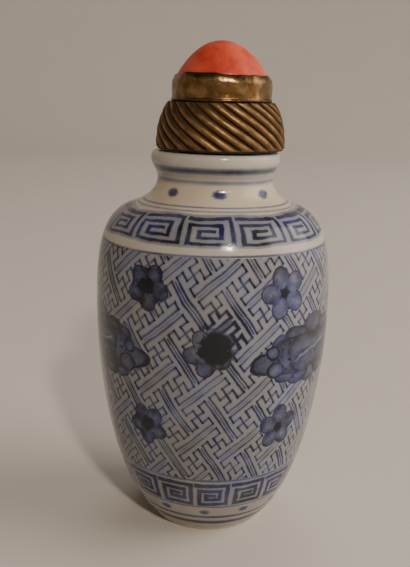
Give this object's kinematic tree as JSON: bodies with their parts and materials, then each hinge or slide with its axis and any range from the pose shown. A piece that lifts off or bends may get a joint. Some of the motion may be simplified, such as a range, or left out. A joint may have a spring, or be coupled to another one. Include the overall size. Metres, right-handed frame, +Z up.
{
  "type": "snuff bottle",
  "caption": "Round-shouldered porcelain snuff bottle on a narrow foot, with a ribbed metal stopper cap that holds a tall coral cabochon.",
  "frame": {"origin": "centre of the bottle's foot on the surface that it stands on, which is the bottom centre of the whole part's box", "axes": "+Z up along the bottle's axis, the longest way; -Y towards the side that the picture shows; +X to the right of that side"},
  "size_m": [0.0384, 0.0384, 0.0788],
  "materials": {
    "porcelain": "white porcelain with underglaze blue painting under a clear gloss glaze",
    "gilt_metal": "worn gilt metal, dark in the grooves",
    "coral": "polished opaque coral",
    "cork": "plain cork"
  },
  "bodies": {
    "root": {"bottle": "porcelain", "stopper_cap": "gilt_metal", "bezel": "gilt_metal", "cabochon": "coral", "cork": "cork"}
  },
  "joints": []
}
